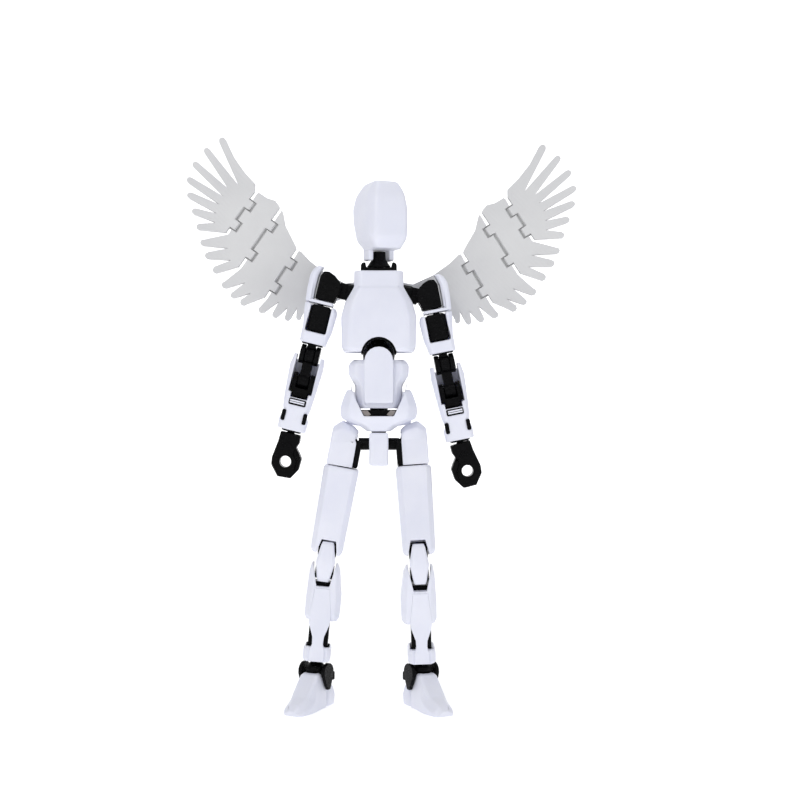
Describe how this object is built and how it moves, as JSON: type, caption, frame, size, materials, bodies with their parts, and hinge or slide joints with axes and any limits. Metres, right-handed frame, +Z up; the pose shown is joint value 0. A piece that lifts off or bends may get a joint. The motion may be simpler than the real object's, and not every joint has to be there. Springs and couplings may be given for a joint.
{
  "type": "humanoid robot kit",
  "caption": "Poseable humanoid robot figure kit: white faceted armour shells on a black ball-jointed skeleton, with a pair of folding feathered wings on its back.",
  "frame": {"origin": "on the floor, under the middle of the whole figure with its wings", "axes": "+Z up along the standing figure, +Y towards its back and wings, +X towards its left hand"},
  "size_m": [0.1048, 0.0224, 0.1512],
  "materials": {
    "armor": "satin",
    "frame": "gloss",
    "wing": "matte"
  },
  "bodies": {
    "abdomen": {"abdomen_armor": "armor", "abdomen_frame": "frame"},
    "ankle_left": {"ankle_bracket_left": "frame"},
    "ankle_right": {"ankle_bracket_right": "frame"},
    "bicep_left": {"bicep_armor_left": "armor", "bicep_frame_left": "frame"},
    "bicep_right": {"bicep_armor_right": "armor", "bicep_frame_right": "frame"},
    "chest": {"chest_back_armor": "armor", "chest_frame": "frame", "chest_front_armor": "armor"},
    "shoulder_left": {"clavicle_link_left": "frame"},
    "shoulder_right": {"clavicle_link_right": "frame"},
    "pelvis": {"crotch_flap": "armor", "pelvis_armor": "armor", "pelvis_frame": "frame"},
    "elbow_left": {"elbow_link_left": "frame"},
    "elbow_right": {"elbow_link_right": "frame"},
    "foot_left": {"foot_shell_left": "armor", "heel_left": "armor"},
    "foot_right": {"foot_shell_right": "armor", "heel_right": "armor"},
    "forearm_left": {"forearm_armor_left": "armor", "forearm_frame_left": "frame"},
    "forearm_right": {"forearm_armor_right": "armor", "forearm_frame_right": "frame"},
    "hand_left": {"hand_left": "frame"},
    "hand_right": {"hand_right": "frame"},
    "head": {"head_shell": "armor"},
    "hip_left": {"hip_link_left": "frame"},
    "hip_right": {"hip_link_right": "frame"},
    "knee_left": {"knee_link_left": "frame", "kneecap_left": "armor"},
    "knee_right": {"knee_link_right": "frame", "kneecap_right": "armor"},
    "neck": {"neck_link": "frame"},
    "shin_left": {"shin_armor_left": "armor", "shin_frame_left": "frame"},
    "shin_right": {"shin_armor_right": "armor", "shin_frame_right": "frame"},
    "upper_arm_left": {"shoulder_armor_left": "armor", "upper_arm_frame_left": "frame"},
    "upper_arm_right": {"shoulder_armor_right": "armor", "upper_arm_frame_right": "frame"},
    "thigh_left": {"thigh_frame_left": "frame", "thigh_upper_armor_left": "armor"},
    "thigh_right": {"thigh_frame_right": "frame", "thigh_upper_armor_right": "armor"},
    "thigh_low_left": {"thigh_lower_armor_left": "armor"},
    "thigh_low_right": {"thigh_lower_armor_right": "armor"},
    "wing_fold_b_left": {"wing_segment_a_left": "wing"},
    "wing_fold_b_right": {"wing_segment_a_right": "wing"},
    "wing_fold_c_left": {"wing_segment_b_left": "wing"},
    "wing_fold_c_right": {"wing_segment_b_right": "wing"},
    "wing_fold_d_left": {"wing_segment_c_left": "wing"},
    "wing_fold_d_right": {"wing_segment_c_right": "wing"},
    "wing_root_left": {"wing_segment_d_left": "wing"},
    "wing_root_right": {"wing_segment_d_right": "wing"},
    "wrist_left": {"wrist_link_left": "frame"},
    "wrist_right": {"wrist_link_right": "frame"}
  },
  "joints": [
    {"name": "waist_turn", "type": "hinge", "parent": "pelvis", "child": "abdomen", "pos_m": [-0.00072, 0.00086, 0.0776], "axis": [0, 0, 1], "range_deg": [-12, 12]},
    {"name": "waist_bend", "type": "hinge", "parent": "abdomen", "child": "chest", "pos_m": [-0.00072, 0.00086, 0.0922], "axis": [1, 0, 0], "range_deg": [-10, 16]},
    {"name": "neck_turn", "type": "hinge", "parent": "chest", "child": "neck", "pos_m": [-0.00072, 0.00086, 0.1154], "axis": [0, 0, 1], "range_deg": [-60, 40]},
    {"name": "head_nod", "type": "hinge", "parent": "neck", "child": "head", "pos_m": [-0.00072, 0.00086, 0.1188], "axis": [0.9272, 0.3746, 0], "range_deg": [-12, 12]},
    {"name": "shoulder_swing_right", "type": "hinge", "parent": "chest", "child": "shoulder_right", "pos_m": [-0.00722, 0.00086, 0.1084], "axis": [-0.9816, 0, 0.1908], "range_deg": [-20, 62]},
    {"name": "arm_raise_right", "type": "hinge", "parent": "shoulder_right", "child": "upper_arm_right", "pos_m": [-0.01203, 0.00086, 0.10934], "axis": [0, 1, 0], "range_deg": [0, 58]},
    {"name": "bicep_turn_right", "type": "hinge", "parent": "upper_arm_right", "child": "bicep_right", "pos_m": [-0.01565, 0.00086, 0.10508], "axis": [0.2385, 0, 0.9711], "range_deg": [-30, 30]},
    {"name": "elbow_upper_right", "type": "hinge", "parent": "bicep_right", "child": "elbow_right", "pos_m": [-0.0188, 0.00086, 0.09226], "axis": [-0.9711, 0, 0.2385], "range_deg": [0, 55]},
    {"name": "elbow_lower_right", "type": "hinge", "parent": "elbow_right", "child": "forearm_right", "pos_m": [-0.02047, 0.00086, 0.08546], "axis": [-0.9711, 0, 0.2385], "range_deg": [0, 65]},
    {"name": "wrist_turn_right", "type": "hinge", "parent": "forearm_right", "child": "wrist_right", "pos_m": [-0.02333, 0.00086, 0.0738], "axis": [0.2385, 0, 0.9711], "range_deg": [-90, 90]},
    {"name": "wrist_bend_right", "type": "hinge", "parent": "wrist_right", "child": "hand_right", "pos_m": [-0.02397, 0.00086, 0.07118], "axis": [-0.9711, 0, 0.2385], "range_deg": [-15, 15]},
    {"name": "hip_swing_right", "type": "hinge", "parent": "pelvis", "child": "hip_right", "pos_m": [-0.00902, 0.00086, 0.069], "axis": [-1, 0, 0], "range_deg": [-25, 75]},
    {"name": "leg_raise_right", "type": "hinge", "parent": "hip_right", "child": "thigh_right", "pos_m": [-0.00902, 0.00086, 0.069], "axis": [0, 1, 0], "range_deg": [-2, 15]},
    {"name": "thigh_turn_right", "type": "hinge", "parent": "thigh_right", "child": "thigh_low_right", "pos_m": [-0.01013, 0.00086, 0.063], "axis": [0.1822, 0, 0.9833], "range_deg": [-25, 25]},
    {"name": "knee_upper_right", "type": "hinge", "parent": "thigh_low_right", "child": "knee_right", "pos_m": [-0.01412, 0.00086, 0.04147], "axis": [0.9903, 0, -0.1392], "range_deg": [0, 48]},
    {"name": "knee_lower_right", "type": "hinge", "parent": "knee_right", "child": "shin_right", "pos_m": [-0.01496, 0.00086, 0.03553], "axis": [0.9959, 0, -0.0906], "range_deg": [0, 48]},
    {"name": "ankle_turn_right", "type": "hinge", "parent": "shin_right", "child": "ankle_right", "pos_m": [-0.0173, 0.00086, 0.00983], "axis": [0, 0, 1], "range_deg": [-15, 15]},
    {"name": "ankle_pitch_right", "type": "hinge", "parent": "ankle_right", "child": "foot_right", "pos_m": [-0.0173, 0.00086, 0.00983], "axis": [0.8829, -0.4695, 0], "range_deg": [-8, 8]},
    {"name": "wing_root_right", "type": "hinge", "parent": "chest", "child": "wing_root_right", "pos_m": [-0.00432, 0.01026, 0.109], "axis": [-0.0244, 0, -0.9997], "range_deg": [-3, 45]},
    {"name": "wing_fold_inner_right", "type": "hinge", "parent": "wing_root_right", "child": "wing_fold_d_right", "pos_m": [-0.02647, 0.01026, 0.11418], "axis": [-0.539, 0, -0.8423], "range_deg": [-12, 20]},
    {"name": "wing_fold_middle_right", "type": "hinge", "parent": "wing_fold_d_right", "child": "wing_fold_c_right", "pos_m": [-0.03228, 0.01026, 0.12371], "axis": [-0.5653, 0, -0.8249], "range_deg": [-12, 20]},
    {"name": "wing_fold_outer_right", "type": "hinge", "parent": "wing_fold_c_right", "child": "wing_fold_b_right", "pos_m": [-0.03739, 0.01026, 0.13048], "axis": [-0.5697, 0, -0.8218], "range_deg": [-12, 20]},
    {"name": "shoulder_swing_left", "type": "hinge", "parent": "chest", "child": "shoulder_left", "pos_m": [0.00578, 0.00086, 0.1084], "axis": [-0.9744, 0, 0.225], "range_deg": [-20, 62]},
    {"name": "arm_raise_left", "type": "hinge", "parent": "shoulder_left", "child": "upper_arm_left", "pos_m": [0.01055, 0.00086, 0.1073], "axis": [0, -1, 0], "range_deg": [0, 27]},
    {"name": "bicep_turn_left", "type": "hinge", "parent": "upper_arm_left", "child": "bicep_left", "pos_m": [0.01399, 0.00086, 0.10289], "axis": [-0.196, 0, 0.9806], "range_deg": [-30, 30]},
    {"name": "elbow_upper_left", "type": "hinge", "parent": "bicep_left", "child": "elbow_left", "pos_m": [0.01657, 0.00086, 0.08994], "axis": [-0.9806, 0, -0.196], "range_deg": [0, 55]},
    {"name": "elbow_lower_left", "type": "hinge", "parent": "elbow_left", "child": "forearm_left", "pos_m": [0.01794, 0.00086, 0.08308], "axis": [-0.9806, 0, -0.196], "range_deg": [0, 65]},
    {"name": "wrist_turn_left", "type": "hinge", "parent": "forearm_left", "child": "wrist_left", "pos_m": [0.0203, 0.00086, 0.07131], "axis": [-0.196, 0, 0.9806], "range_deg": [-90, 90]},
    {"name": "wrist_bend_left", "type": "hinge", "parent": "wrist_left", "child": "hand_left", "pos_m": [0.02082, 0.00086, 0.06866], "axis": [-0.9521, 0, -0.3057], "range_deg": [-15, 15]},
    {"name": "hip_swing_left", "type": "hinge", "parent": "pelvis", "child": "hip_left", "pos_m": [0.00758, 0.00086, 0.069], "axis": [-1, 0, 0], "range_deg": [-25, 75]},
    {"name": "leg_raise_left", "type": "hinge", "parent": "hip_left", "child": "thigh_left", "pos_m": [0.00758, 0.00086, 0.069], "axis": [0, -0.9898, 0.1427], "range_deg": [-2, 20]},
    {"name": "thigh_turn_left", "type": "hinge", "parent": "thigh_left", "child": "thigh_low_left", "pos_m": [0.008, -0.00001, 0.06298], "axis": [-0.068, 0.1423, 0.9875], "range_deg": [-25, 25]},
    {"name": "knee_upper_left", "type": "hinge", "parent": "thigh_low_left", "child": "knee_left", "pos_m": [0.00948, -0.00313, 0.04135], "axis": [0.9987, 0.0072, 0.0501], "range_deg": [0, 48]},
    {"name": "knee_lower_left", "type": "hinge", "parent": "knee_left", "child": "shin_left", "pos_m": [0.00979, -0.00312, 0.03536], "axis": [0.9995, 0.0072, 0.0309], "range_deg": [0, 48]},
    {"name": "ankle_turn_left", "type": "hinge", "parent": "shin_left", "child": "ankle_left", "pos_m": [0.01055, 0.00056, 0.00983], "axis": [0, 0, 1], "range_deg": [-15, 15]},
    {"name": "ankle_pitch_left", "type": "hinge", "parent": "ankle_left", "child": "foot_left", "pos_m": [0.01055, 0.00056, 0.00983], "axis": [0.8829, 0.4695, 0], "range_deg": [-8, 8]},
    {"name": "wing_root_left", "type": "hinge", "parent": "chest", "child": "wing_root_left", "pos_m": [0.00288, 0.01026, 0.109], "axis": [0.0244, 0, 0.9997], "range_deg": [-3, 45]},
    {"name": "wing_fold_inner_left", "type": "hinge", "parent": "wing_root_left", "child": "wing_fold_d_left", "pos_m": [0.02525, 0.01026, 0.11309], "axis": [-0.4972, 0, 0.8676], "range_deg": [-12, 20]},
    {"name": "wing_fold_middle_left", "type": "hinge", "parent": "wing_fold_d_left", "child": "wing_fold_c_left", "pos_m": [0.03152, 0.01026, 0.12233], "axis": [-0.5243, 0, 0.8515], "range_deg": [-12, 20]},
    {"name": "wing_fold_outer_left", "type": "hinge", "parent": "wing_fold_c_left", "child": "wing_fold_b_left", "pos_m": [0.03696, 0.01026, 0.12884], "axis": [-0.5289, 0, 0.8487], "range_deg": [-12, 20]}
  ]
}
